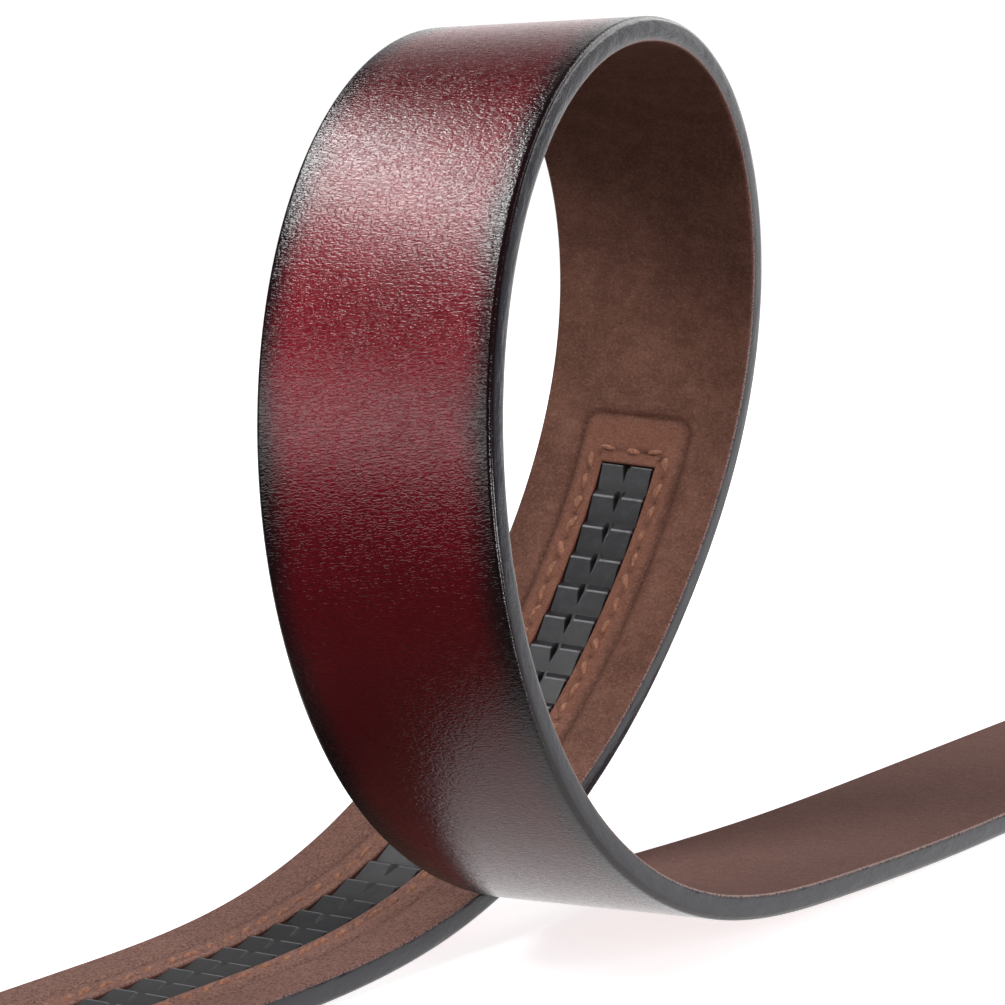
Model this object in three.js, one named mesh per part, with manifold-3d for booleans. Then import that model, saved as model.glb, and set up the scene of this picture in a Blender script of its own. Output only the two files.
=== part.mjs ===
// A leather ratchet belt that stands in one loop, its tip tail and its buckle tail lying on the ground.
// Millimetres, +Z up. A place on the strap is given by three sizes: s along it, from where the tip tail
// leaves the ground towards the buckle, v across it, and h through it, from the grain to the suede.

import * as THREE from 'three';
import { mergeVertices } from 'three/addons/utils/BufferGeometryUtils.js';
import Module from 'manifold-3d';

const wasm = await Module();
wasm.setup();

// Strap
const strapWidth = 35;
const grainThickness = 1.9;
const liningThickness = 1.7;
const glueGap = 0.1;
const grainEdgeRound = 0.8;
const suedeEdgeRound = 0.5;
const tipCornerRadius = 12;

// Loop
const loopLength = 528;
const passGap = 1;
const pieceGap = 0.3;

// Ratchet track
const toothPitch = 5.72;
const toothCount = 44;
const toothWidth = 9.2;
const toothLow = 0.3;
const toothHigh = 1.1;
const toothBack = 1.4;
const notchWidth = 1.5;
const notchTipWidth = 0.3;
const notchLength = 2.6;
const notchDepth = 0.7;
const trackBase = 0.6;
const slotClearance = 0.3;
const tipMargin = 46;

// Tails
const buckleTailLength = 90;
const liftRun = 100;

// Buckle
const buckleLength = 58;
const plateThickness = 2.6;
const plateCornerRadius = 5;
const plateBevel = 0.7;
const plateRim = 4;
const wallThickness = 1.8;
const wallEndRadius = 3;
const sideClearance = 0.6;
const tipChannelHeight = 5.2;
const clampBarThickness = 1.2;
const clampTopThickness = 1.8;
const clampDepth = 22;
const pawlHousingLength = 15;
const buckleEdgeRound = 0.8;

// How finely the bends are faceted, in degrees of turn and in millimetres, and the step of the side view
const facetTurn = 6;
const facetLength = 24;
const lineStep = 0.5;

// The loop's bends in order, from the tip tail to the buckle tail. at is the share of its length, and
// tightness compares the bend there with that of an even round loop. Between rows it changes evenly.
const bends = [
  { place: 'tip tail leaves the ground', at: 0.00, tightness: 0.00 },
  { place: 'low back of the loop', at: 0.07, tightness: 0.70 },
  { place: 'beside the first teeth', at: 0.14, tightness: 0.85 },
  { place: 'upright back', at: 0.22, tightness: 0.60 },
  { place: 'shoulder above the track', at: 0.30, tightness: 1.70 },
  { place: 'crown of the back', at: 0.38, tightness: 2.10 },
  { place: 'top', at: 0.45, tightness: 1.10 },
  { place: 'crown of the front', at: 0.52, tightness: 1.25 },
  { place: 'belly of the front', at: 0.65, tightness: 1.35 },
  { place: 'foot of the front', at: 0.72, tightness: 1.65 },
  { place: 'turn onto the ground', at: 0.79, tightness: 1.05 },
  { place: 'nearly down', at: 0.86, tightness: 0.05 },
  { place: 'settling', at: 0.93, tightness: 0.10 },
  { place: 'buckle tail lies flat', at: 1.00, tightness: 0.00 },
];

// The first tooth stands on the upright back of the loop, at this share of its length
const trackEndShare = 0.262;

// The loop is on its way up before the one share of its length, and on its way down after the other
const upEndShare = 0.4;
const downStartShare = 0.6;

// Sizes that follow
const fullTurn = 2 * Math.PI;
const strapThickness = grainThickness + glueGap + liningThickness;
const midThickness = strapThickness / 2;
const liningBottom = grainThickness + glueGap;
const buckleRise = plateThickness + tipChannelHeight + clampBarThickness + pieceGap;
const liftFrom = loopLength + buckleTailLength;
const liftTo = liftFrom + liftRun;
const strapEnd = liftTo + clampDepth + plateRim;
const trackTop = trackEndShare * loopLength;
const trackLow = trackTop - toothCount * toothPitch + toothBack;
const strapTip = trackLow - tipMargin;

// Finds where an error that rises or falls evenly is zero
function solve(error, low, high) {
  const rising = error(high) > error(low);
  for (let halving = 0; halving < 48; halving += 1) {
    const middle = (low + high) / 2;
    if (error(middle) > 0 === rising) high = middle;
    else low = middle;
  }
  return (low + high) / 2;
}

// How sharply the loop bends at a place along it, as turn for each millimetre. lean shifts a little
// of the bend from one end to the other.
function loopBend(run, lean) {
  const share = run / loopLength;
  if (share <= 0 || share >= 1) return 0;
  const next = bends.findIndex((row) => row.at > share);
  const before = bends[next - 1];
  const after = bends[next];
  const part = (share - before.at) / (after.at - before.at);
  const tightness = THREE.MathUtils.lerp(before.tightness, after.tightness, part);
  return (fullTurn / loopLength) * tightness * (1 + lean * (share - 0.5));
}

// The small rise of the tail to its seat in the buckle: it bends up, then down by as much
function liftBend(run, sharpest) {
  const share = (run - liftFrom) / liftRun;
  if (share <= 0 || share >= 1) return 0;
  const wave = share < 0.5 ? share : share - 1;
  return sharpest * 4 * Math.sign(wave) * Math.min(Math.abs(wave), 0.5 - Math.abs(wave));
}

// The side view of the strap at half its thickness, followed in short steps from the ground
function sideView(bendAt, from, to) {
  const places = [{ turn: 0, y: 0, z: 0 }];
  for (let run = from; run < to; run += lineStep) {
    const last = places[places.length - 1];
    const turn = last.turn + bendAt(run + lineStep / 2) * lineStep;
    const heading = (last.turn + turn) / 2;
    places.push({ turn, y: last.y + Math.cos(heading) * lineStep, z: last.z + Math.sin(heading) * lineStep });
  }
  const at = (run) => {
    const share = THREE.MathUtils.clamp((run - from) / lineStep, 0, places.length - 1);
    const below = Math.min(Math.floor(share), places.length - 2);
    const part = share - below;
    const mix = (name) => THREE.MathUtils.lerp(places[below][name], places[below + 1][name], part);
    const beyond = run - from - share * lineStep;
    return { turn: mix('turn'), y: mix('y') + beyond, z: mix('z') };
  };
  return { at, end: places[places.length - 1] };
}

// The whole bend line: the loop turns once round and comes back to the ground, then the tail rises
function strapLine() {
  const loop = (lean, evening) => sideView((run) => evening * loopBend(run, lean), 0, loopLength);
  const evened = (lean) => loop(lean, fullTurn / loop(lean, 1).end.turn);
  const lean = solve((trial) => evened(trial).end.z, -1, 1);
  const evening = fullTurn / loop(lean, 1).end.turn;
  const lift = (sharpest) => sideView((run) => liftBend(run, sharpest), liftFrom, liftTo);
  const sharpest = solve((trial) => lift(trial).end.z - buckleRise, 0, fullTurn / liftRun);
  const bendAt = (run) => evening * loopBend(run, lean) + liftBend(run, sharpest);
  return sideView(bendAt, 0, strapEnd);
}

const line = strapLine();

// The shortest run along the strap between two places where it passes close by itself: one on the
// loop's way up, the other on its way down
function passRun() {
  const near = strapThickness + pieceGap;
  const step = 2 * lineStep;
  let shortest = loopLength;
  for (let rise = 0; rise < upEndShare * loopLength; rise += step) {
    const up = line.at(rise);
    for (let fall = downStartShare * loopLength; fall < loopLength; fall += step) {
      const down = line.at(fall);
      const close = Math.hypot(up.y - down.y, up.z - down.z) < near;
      if (close) shortest = Math.min(shortest, fall - rise);
    }
  }
  return shortest;
}

// The strap is bent about slanting lines, so that it passes beside itself instead of through itself
const slant = Math.atan((strapWidth + passGap) / passRun());

// The lines about which the strap bends, close together only where it turns. Every piece of the strap
// is flat between them, so all its layers keep their distance.
function bendLines() {
  const turnStep = THREE.MathUtils.degToRad(facetTurn);
  const lines = [];
  let last;
  for (const [from, to] of [[0, loopLength], [liftFrom, liftTo]]) {
    for (let run = from; run < to; run += lineStep) {
      const place = line.at(run);
      const due = run === from || Math.abs(place.turn - last.turn) >= turnStep;
      if (due || run - last.run >= facetLength) {
        last = { run, ...place };
        lines.push(last);
      }
    }
    if (to - last.run < facetLength / 4) lines.pop();
    last = { run: to, ...line.at(to) };
    lines.push(last);
  }
  return lines;
}

const folds = bendLines();

// The place in space of a place on the strap
function onStrap(s, v, h) {
  const run = s * Math.cos(slant) - v * Math.sin(slant);
  const side = v * Math.cos(slant) + s * Math.sin(slant);
  const after = folds.findIndex((fold) => fold.run > run);
  const next = folds[after < 0 ? folds.length - 1 : Math.max(after, 1)];
  const before = folds[folds.indexOf(next) - 1];
  const share = (run - before.run) / (next.run - before.run);
  const inside = THREE.MathUtils.clamp(share, 0, 1);
  const beyond = (share - inside) * (next.run - before.run);
  const raised = (fold) => ({
    ahead: fold.y - (h - midThickness) * Math.sin(fold.turn),
    height: midThickness + fold.z + (h - midThickness) * Math.cos(fold.turn),
  });
  const near = raised(before);
  const far = raised(next);
  const ahead = THREE.MathUtils.lerp(near.ahead, far.ahead, inside) + beyond;
  const height = THREE.MathUtils.lerp(near.height, far.height, inside);
  const x = side * Math.cos(slant) - ahead * Math.sin(slant);
  return new THREE.Vector3(x, side * Math.sin(slant) + ahead * Math.cos(slant), height);
}

// The rows of sections that follow the folds
const foldRows = folds.map(({ run }) => ({ s: run / Math.cos(slant), skew: Math.tan(slant), width: 1 }));

// The rows between two square ends
function rowsBetween(from, to, reach, rows) {
  const skewed = reach * Math.tan(slant) + 1;
  const between = rows.filter((row) => row.s > from + skewed && row.s < to - skewed);
  return [{ s: from, skew: 0, width: 1 }, ...between, { s: to, skew: 0, width: 1 }];
}

// The rows of the whole strap, narrowed at the round corners of its tip
function strapRows() {
  const tipRows = [];
  for (let degrees = 0; degrees < 90; degrees += 18) {
    const angle = THREE.MathUtils.degToRad(degrees);
    const inset = tipCornerRadius * (1 - Math.sin(angle));
    const half = strapWidth / 2;
    tipRows.push({ s: strapTip + tipCornerRadius * (1 - Math.cos(angle)), skew: 0, width: 1 - inset / half });
  }
  return [...tipRows, ...rowsBetween(strapTip + tipCornerRadius, strapEnd, strapWidth / 2, foldRows)];
}

// Moves every corner of a shape, joins the corners that meet and drops the faces that vanish so
function placed(geometry, place, mirrored) {
  geometry.deleteAttribute('normal');
  geometry.deleteAttribute('uv');
  const position = geometry.attributes.position;
  for (let i = 0; i < position.count; i += 1) {
    const point = place(position.getX(i), position.getY(i), position.getZ(i));
    position.setXYZ(i, point.x, point.y, point.z);
  }
  const joined = mergeVertices(geometry, 1e-4);
  const corners = [];
  for (let i = 0; i < joined.index.count; i += 3) {
    const [a, b, c] = joined.index.array.slice(i, i + 3);
    if (a !== b && b !== c && c !== a) corners.push(...(mirrored ? [a, c, b] : [a, b, c]));
  }
  joined.setIndex(corners);
  return joined;
}

function solidOf(geometry) {
  const vertProperties = Float32Array.from(geometry.attributes.position.array);
  const triVerts = Uint32Array.from(geometry.index.array);
  return new wasm.Manifold(new wasm.Mesh({ numProp: 3, vertProperties, triVerts }));
}

function geometryOf(solid) {
  const mesh = solid.getMesh();
  const geometry = new THREE.BufferGeometry();
  geometry.setAttribute('position', new THREE.BufferAttribute(mesh.vertProperties, 3));
  geometry.setIndex(new THREE.BufferAttribute(mesh.triVerts, 1));
  return geometry;
}

// A section drawn across the strap, carried along it. shape turns a corner of the section into its
// place across and through the strap at each row.
function alongStrap(section, rows, shape = (v, h, row) => ({ v: v * row.width, h })) {
  const steps = rows.length - 1;
  const settings = { depth: steps, steps, bevelEnabled: false, curveSegments: 2 };
  const straight = new THREE.ExtrudeGeometry(section, settings);
  const place = (x, y, step) => {
    const row = rows[Math.round(step)];
    const { v, h } = shape(x, y, row);
    return onStrap(row.s + row.skew * v, v, h);
  };
  return placed(straight, place, true);
}

// A section of the strap between two heights, round on the corners of one of its faces
function layerSection(width, low, high, roundLow, roundHigh) {
  const half = width / 2;
  const section = new THREE.Shape();
  section.moveTo(-half + roundLow, low);
  section.lineTo(half - roundLow, low);
  if (roundLow > 0) section.absarc(half - roundLow, low + roundLow, roundLow, -Math.PI / 2, 0, false);
  section.lineTo(half, high - roundHigh);
  if (roundHigh > 0) section.absarc(half - roundHigh, high - roundHigh, roundHigh, 0, Math.PI / 2, false);
  section.lineTo(-half + roundHigh, high);
  if (roundHigh > 0) {
    section.absarc(-half + roundHigh, high - roundHigh, roundHigh, Math.PI / 2, Math.PI, false);
  }
  section.lineTo(-half, low + roundLow);
  if (roundLow > 0) section.absarc(-half + roundLow, low + roundLow, roundLow, Math.PI, 1.5 * Math.PI, false);
  return section;
}

function outerLeather() {
  return alongStrap(layerSection(strapWidth, 0, grainThickness, grainEdgeRound, 0), strapRows());
}

// The suede lining, with a slot that shows the teeth. The slot's own rows lie between the folds.
function suedeLining() {
  const whole = layerSection(strapWidth, liningBottom, strapThickness, 0, suedeEdgeRound);
  const slotWidth = toothWidth + 2 * slotClearance;
  const slot = layerSection(slotWidth, liningBottom - 1, strapThickness + 1, 0, 0);
  const between = foldRows.slice(1).map((row, n) => ({ ...row, s: (row.s + foldRows[n].s) / 2 }));
  const slotRows = rowsBetween(trackLow - slotClearance, trackTop + slotClearance, slotWidth / 2, between);
  return geometryOf(solidOf(alongStrap(whole, strapRows())).subtract(solidOf(alongStrap(slot, slotRows))));
}

// The toothed track. Each tooth rises away from the tip to a lip and slopes back down behind it, and a
// notch that widens and deepens towards the lip splits it. The last tooth ends at its lip. The section
// is drawn at the lip, and each row lowers it.
function ratchetTrack() {
  const bottom = liningBottom;
  const floor = bottom + trackBase;
  const lip = floor + toothHigh;
  const rise = toothPitch - toothBack;
  const rows = [];
  for (let n = 0; n < toothCount; n += 1) {
    const low = trackLow + n * toothPitch;
    const row = (run, notch, depth) => {
      const top = floor + THREE.MathUtils.lerp(toothLow, toothHigh, run / rise);
      rows.push({ s: low + run, skew: 0, top, narrowed: notch / notchWidth, notchFloor: top - depth });
    };
    row(0, notchTipWidth, 0);
    row(rise - notchLength, notchTipWidth, 0);
    row(rise, notchWidth, notchDepth);
  }
  const section = new THREE.Shape();
  section.moveTo(-toothWidth / 2, bottom);
  section.lineTo(toothWidth / 2, bottom);
  section.lineTo(toothWidth / 2, lip);
  section.lineTo(notchWidth / 2, lip);
  section.lineTo(notchWidth / 2, floor);
  section.lineTo(-notchWidth / 2, floor);
  section.lineTo(-notchWidth / 2, lip);
  section.lineTo(-toothWidth / 2, lip);
  const aboveFloor = (floor + lip) / 2;
  const aboveBottom = (bottom + floor) / 2;
  return alongStrap(section, rows, (v, h, row) => {
    const upper = h > aboveFloor ? row.top : row.notchFloor;
    return { v: Math.abs(v) < notchWidth ? v * row.narrowed : v, h: h > aboveBottom ? upper : h };
  });
}

// A flat outline with round corners, drawn from one corner
function roundedOutline(x, y, width, height, radius) {
  const outline = new THREE.Shape();
  outline.absarc(x + width - radius, y + radius, radius, -Math.PI / 2, 0, false);
  outline.absarc(x + width - radius, y + height - radius, radius, 0, Math.PI / 2, false);
  outline.absarc(x + radius, y + height - radius, radius, Math.PI / 2, Math.PI, false);
  outline.absarc(x + radius, y + radius, radius, Math.PI, 1.5 * Math.PI, false);
  return outline;
}

// A side view of the buckle, drawn with y along the belt and z up, given its width across the belt
function acrossBuckle(outline, width, centre) {
  const settings = { depth: width, steps: 1, bevelEnabled: false, curveSegments: 3 };
  const slab = new THREE.ExtrudeGeometry(outline, settings);
  return placed(slab, (y, z, x) => new THREE.Vector3(centre + x - width / 2, y, z), false);
}

// The buckle as one plain piece. Its origin is on the ground under the strap's cut end, with y away from
// the loop: a face plate, two walls, a clamp round the strap's end and a housing over the tip's channel.
function buckle() {
  const innerWidth = strapWidth + 2 * sideClearance;
  const outerWidth = innerWidth + 2 * wallThickness;
  const plateFrom = -clampDepth - plateRim;
  const channelTop = plateThickness + tipChannelHeight;
  const clampTop = buckleRise + strapThickness + pieceGap;
  const wallTop = clampTop + clampTopThickness;
  const wallFrom = -clampDepth;
  const wallTo = plateFrom + buckleLength - plateRim;
  const sunk = plateThickness / 2;

  const plateOutline = roundedOutline(
    -outerWidth / 2 + plateBevel, plateFrom + plateBevel,
    outerWidth - 2 * plateBevel, buckleLength - 2 * plateBevel, plateCornerRadius,
  );
  const plateSettings = {
    depth: plateThickness - 2 * plateBevel, steps: 1, curveSegments: 4,
    bevelEnabled: true, bevelThickness: plateBevel, bevelSize: plateBevel, bevelSegments: 1,
  };
  const plate = new THREE.ExtrudeGeometry(plateOutline, plateSettings);
  let body = solidOf(placed(plate, (x, y, z) => new THREE.Vector3(x, y, z + plateBevel), false));

  const wall = roundedOutline(wallFrom, sunk, wallTo - wallFrom, wallTop - sunk, wallEndRadius);
  const clampBar = roundedOutline(wallFrom, channelTop, clampDepth, clampBarThickness, clampBarThickness / 3);
  const clampLid = roundedOutline(wallFrom, clampTop, clampDepth, clampTopThickness, buckleEdgeRound);
  const housing = roundedOutline(
    wallTo - pawlHousingLength, channelTop, pawlHousingLength, wallTop - channelTop, wallEndRadius,
  );
  const wallPlace = (innerWidth + wallThickness) / 2;
  const bridge = innerWidth + wallThickness;
  const pieces = [
    acrossBuckle(wall, wallThickness, wallPlace),
    acrossBuckle(wall, wallThickness, -wallPlace),
    acrossBuckle(clampBar, bridge, 0),
    acrossBuckle(clampLid, bridge, 0),
    acrossBuckle(housing, bridge, 0),
  ];
  for (const piece of pieces) body = body.add(solidOf(piece));
  return geometryOf(body);
}

function piece(name, geometry, color, roughness, metalness) {
  const mesh = new THREE.Mesh(geometry, new THREE.MeshStandardMaterial({ color, roughness, metalness }));
  mesh.name = name;
  return mesh;
}

const strap = new THREE.Group();
strap.add(piece('outer_leather', outerLeather(), 0x5f1a22, 0.42, 0));
strap.add(piece('suede_lining', suedeLining(), 0x7a5140, 0.95, 0));
strap.add(piece('ratchet_track', ratchetTrack(), 0x2c2c31, 0.5, 0));

const buckleSeat = new THREE.Group();
const cutEnd = onStrap(strapEnd, 0, 0);
buckleSeat.position.set(cutEnd.x, cutEnd.y, 0);
buckleSeat.add(piece('buckle', buckle(), 0x3a3b40, 0.35, 0.9));

const belt = new THREE.Group();
belt.add(strap, buckleSeat);

// The origin is at the middle of the belt's ground plan
const extent = new THREE.Box3().setFromObject(belt, true);
const middle = extent.getCenter(new THREE.Vector3());
belt.position.set(-middle.x, -middle.y, -extent.min.z);

export default belt;
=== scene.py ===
"""The looks of a leather ratchet belt that stands in one loop, both its tails lying on the ground.

Every piece of the strap is first made flat, as it is cut and sewn: x across the strap, y along it, and
z through it from the grain to the suede. Then its corners move to their places on the bent strap.
"""

import math
import random

import bmesh
import bpy
import numpy as np
from bpy.props import FloatProperty, FloatVectorProperty, PointerProperty
from mathutils import Matrix, Vector


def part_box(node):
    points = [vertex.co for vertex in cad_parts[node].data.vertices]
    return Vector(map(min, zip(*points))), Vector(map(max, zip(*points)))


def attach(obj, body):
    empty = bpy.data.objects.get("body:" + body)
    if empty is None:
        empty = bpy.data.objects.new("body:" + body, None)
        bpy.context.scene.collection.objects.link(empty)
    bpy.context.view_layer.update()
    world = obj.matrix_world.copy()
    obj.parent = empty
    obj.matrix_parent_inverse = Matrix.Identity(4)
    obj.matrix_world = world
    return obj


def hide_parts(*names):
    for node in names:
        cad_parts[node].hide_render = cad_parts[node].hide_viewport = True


bl_info = {
    "name": "Ratchet Belt",
    "version": (1, 0, 0),
    "blender": (4, 5, 0),
    "location": "View3D > Sidebar > Belt",
    "description": "Builds the looks of a leather ratchet belt round its packed model",
    "category": "Object",
}

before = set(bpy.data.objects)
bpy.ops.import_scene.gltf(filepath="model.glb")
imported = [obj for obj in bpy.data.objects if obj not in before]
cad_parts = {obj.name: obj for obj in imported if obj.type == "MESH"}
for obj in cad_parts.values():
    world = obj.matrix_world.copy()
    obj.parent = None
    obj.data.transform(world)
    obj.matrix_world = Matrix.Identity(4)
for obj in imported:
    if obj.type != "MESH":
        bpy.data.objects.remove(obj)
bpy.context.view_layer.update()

MM = 0.001
BODY = "root"
SEED = 7

# The strap, in millimetres
STRAP_WIDTH = 35.0
GRAIN_THICKNESS = 1.9
LINING_THICKNESS = 1.7
GLUE_GAP = 0.1
TIP_RADIUS = 12.0
STRAP_THICKNESS = GRAIN_THICKNESS + GLUE_GAP + LINING_THICKNESS
LINING_BOTTOM = GRAIN_THICKNESS + GLUE_GAP

# Its loop and its two tails. Going up, the strap passes beside itself in the first share of the loop, and
# coming down, in what lies past the second.
LOOP_LENGTH = 528.0
PASS_GAP = 1.0
PIECE_GAP = 0.3
BUCKLE_TAIL = 90.0
LIFT_RUN = 100.0
BUCKLE_RISE = 9.3
CLAMPED = 26.0
PASS_SHARES = (0.4, 0.6)
STRAP_END = LOOP_LENGTH + BUCKLE_TAIL + LIFT_RUN + CLAMPED

# The toothed track
TOOTH_PITCH = 5.72
TOOTH_COUNT = 44
TOOTH_WIDTH = 9.2
TOOTH_LOW = 0.3
TOOTH_HIGH = 1.1
TOOTH_BACK = 1.4
NOTCH_WIDTH = 1.7
NOTCH_TIP = 0.3
NOTCH_FLOOR = 0.3
NOTCH_LENGTH = 2.6
NOTCH_DEPTH = 1.0
TRACK_BASE = 0.6
LIP_ROUND = 0.2
SLOT_CLEARANCE = 0.3
TIP_MARGIN = 46.0
TRACK_END_SHARE = 0.262
TRACK_TOP = TRACK_END_SHARE * LOOP_LENGTH
TRACK_LOW = TRACK_TOP - TOOTH_COUNT * TOOTH_PITCH + TOOTH_BACK
STRAP_TIP = TRACK_LOW - TIP_MARGIN
SLOT_HALF = TOOTH_WIDTH / 2 + SLOT_CLEARANCE
SLOT_LOW = TRACK_LOW - SLOT_CLEARANCE
SLOT_TOP = TRACK_TOP + SLOT_CLEARANCE
SLOT_ROUND = 0.35

# The sewing round the track: a row of stitches, and a line pressed outside it
STITCH_ROW = 6.8
STITCH_ROW_END = 2.6
STITCH_THICKNESS = 1.2
STITCH_FLATNESS = 0.4
STITCH_BOW = 0.35
# How far the stitches stray: along the row in shares of their spacing, aside in millimetres, and in heading
STITCH_DRIFT = 0.09
STITCH_ASIDE = 0.16
STITCH_TURN = 0.24
HOLE_DEPTH = 0.45
HOLE_RADIUS = 0.6
GROOVE_ROW = 9.6
GROOVE_ROW_END = 8.5
GROOVE_CORNER = 3.0
GROOVE_DEPTH = 0.42
GROOVE_RADIUS = 0.55

# The leather's edges lie this far in, under their domed paint. The strap's sheets are a flat middle and a
# border of this width.
LEATHER_INSET = 0.25
PAINT_INSET = 0.3
PAINT_LOW = 0.36
PAINT_HIGH = STRAP_THICKNESS - 0.15
DOME_FULLNESS = 0.8
DOME_STEPS = 12
BORDER = 6.0

# How finely the sheets are divided
ROW_STEP = 1.5
SUEDE_STEP = 1.6
LEATHER_COLUMNS = 11
TIP_STEPS = 12
WELD_DISTANCE = 0.002
CLOSE = 0.01

# The loop's bends in order, from the tip tail to the buckle tail: the share of the loop's length, and how
# tight the bend is there beside that of an even round loop
BENDS = (
    (0.00, 0.00), (0.07, 0.70), (0.14, 0.85), (0.22, 0.60), (0.30, 1.70), (0.38, 2.10), (0.45, 1.10),
    (0.52, 1.25), (0.65, 1.35), (0.72, 1.65), (0.79, 1.05), (0.86, 0.05), (0.93, 0.10), (1.00, 0.00),
)

# The buckle
BUCKLE_LENGTH = 58.0
PLATE_THICKNESS = 2.6
PLATE_CORNER = 5.0
PLATE_EDGE = 0.7
PLATE_RIM = 4.0
WALL_THICKNESS = 1.8
WALL_CORNER = 3.0
SIDE_CLEARANCE = 0.6
TIP_CHANNEL = 5.2
CLAMP_BAR = 1.2
CLAMP_LID = 1.8
CLAMP_DEPTH = 22.0
HOUSING_LENGTH = 15.0
METAL_EDGE = 0.35
METAL_SEAM = 0.05

# The stretches of the loop where the red is deepest, which is painted shade, in degrees of turn: where it
# starts, is full, fades and ends
PAINTED_SHADE_STRETCHES = ((188, 202, 208, 224), (256, 282, 294, 322))
PAINTED_SHADE_SHARE = 0.75

# The soft lights: name, place and aim in metres, width and height in metres, watts, and what reflects them
SOFT_LIGHTS = (
    ("overhead_strip", (-0.67, -0.335, 1.26), (0.0, -0.13, 0.12), (1.2, 0.12), 6.6, "glossy"),
    ("front_strip", (-0.66, -1.48, 0.56), (0.0, -0.18, 0.07), (1.2, 0.5), 5.2, "glossy"),
    ("overhead_fill", (-0.60, -0.90, 1.25), (0.0, -0.15, 0.08), (1.0, 0.6), 13.5, "diffuse"),
    ("right_light", (1.5, -0.42, 0.50), (0.0, -0.10, 0.07), (0.5, 1.0), 12.5, "diffuse"),
    ("right_strip", (1.5, -0.55, 0.09), (0.0, -0.10, 0.07), (0.6, 0.5), 15.0, "glossy"),
    ("back_light", (0.3, 1.4, 0.9), (0.0, 0.0, 0.05), (1.6, 0.9), 9.0, "both"),
)

# The camera, as the photograph was taken: metres from the strap's start of the loop, degrees, and
# millimetres of lens
CAMERA_PLACE = (0.26251, -0.29621, 0.11096)
CAMERA_AZIMUTH = 34.74
CAMERA_ELEVATION = 6.41
CAMERA_ROLL = -1.72
CAMERA_LENS = 108.3
CAMERA_SENSOR = 36.0


def srgb(red, green, blue):
    """A colour as it is named on a screen, from 0 to 255, as the light it stands for."""
    def light(level):
        share = level / 255
        return share / 12.92 if share <= 0.04045 else ((share + 0.055) / 1.055) ** 2.4
    return light(red), light(green), light(blue)


def solve(error, low, high, halvings=48):
    """Finds where an error that only rises, or only falls, is zero."""
    rising = error(high) > error(low)
    for _ in range(halvings):
        middle = (low + high) / 2
        if (error(middle) > 0) == rising:
            high = middle
        else:
            low = middle
    return (low + high) / 2


class BentStrap:
    """The bent strap. place() turns places on the flat strap into places in space, without stretch.

    The loop's bend leans towards one end by as much as brings it back to the ground, and the buckle's tail
    curves up and levels out at its seat.
    """

    STEP = 0.5

    def __init__(self):
        self.runs = np.arange(0, STRAP_END + self.STEP, self.STEP)
        middles = self.runs[:-1] + self.STEP / 2
        share = middles / LOOP_LENGTH
        at, tightness = np.array(BENDS).T
        even = np.where((share > 0) & (share < 1), np.interp(share, at, tightness), 0)

        def loop(lean):
            bend = even * (1 + lean * (share - 0.5))
            return bend * 2 * math.pi / (bend.sum() * self.STEP)

        along_lift = (middles - (LOOP_LENGTH + BUCKLE_TAIL)) / LIFT_RUN
        wave = np.where(along_lift < 0.5, along_lift, along_lift - 1)
        swell = 4 * np.sign(wave) * np.minimum(np.abs(wave), 0.5 - np.abs(wave))
        swell = np.where((along_lift > 0) & (along_lift < 1), swell, 0)
        lean = solve(lambda trial: self.rise(loop(trial)), -1, 1)
        lift = solve(lambda trial: self.rise(trial * swell) - BUCKLE_RISE, 0, 2 * math.pi / LIFT_RUN)
        self.turns, headings = self.follow(loop(lean) + lift * swell)
        self.ahead = np.concatenate([[0], np.cumsum(np.cos(headings) * self.STEP)])
        self.height = np.concatenate([[0], np.cumsum(np.sin(headings) * self.STEP)])
        self.slant = math.atan((STRAP_WIDTH + PASS_GAP) / self.pass_run())
        self.shift = np.zeros(3)
        end = self.place([(0, STRAP_END * MM, 0)])[0]
        low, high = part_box("buckle")
        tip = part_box("outer_leather")[0].y
        self.shift = np.array([(low.x + high.x) / 2 - end[0], tip - STRAP_TIP * MM, 0])

    def follow(self, bend):
        """The turn at each run, and the heading of each step between them."""
        turns = np.concatenate([[0], np.cumsum(bend * self.STEP)])
        return turns, (turns[1:] + turns[:-1]) / 2

    def rise(self, bend):
        """How far a bend lifts the strap from its start to its end."""
        return float(np.sin(self.follow(bend)[1]).sum() * self.STEP)

    def pass_run(self):
        """The shortest run between two places where the strap passes close by itself."""
        first, last = (share * LOOP_LENGTH for share in PASS_SHARES)
        up = self.runs < first
        down = (self.runs > last) & (self.runs < LOOP_LENGTH)

        def between(values):
            return values[down] - values[up][:, None]
        apart = np.hypot(between(self.ahead), between(self.height))
        return between(self.runs)[apart < STRAP_THICKNESS + PIECE_GAP].min()

    def run_at(self, degrees):
        """Where along the strap it has turned so far."""
        return float(np.interp(math.radians(degrees), self.turns, self.runs))

    def place(self, flat):
        """The places in space of places on the flat strap, all in metres."""
        across, along, through = (np.asarray(flat, float) / MM).T
        cos, sin = math.cos(self.slant), math.sin(self.slant)
        run = along * cos - across * sin
        side = across * cos + along * sin
        beyond = np.minimum(run, 0) + np.maximum(run - self.runs[-1], 0)
        turn = np.interp(run, self.runs, self.turns)
        out = through - STRAP_THICKNESS / 2
        ahead = np.interp(run, self.runs, self.ahead) + beyond - out * np.sin(turn)
        height = STRAP_THICKNESS / 2 + np.interp(run, self.runs, self.height) + out * np.cos(turn)
        return np.stack([side * cos - ahead * sin, side * sin + ahead * cos, height], -1) * MM + self.shift


STRAP = BentStrap()


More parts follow.
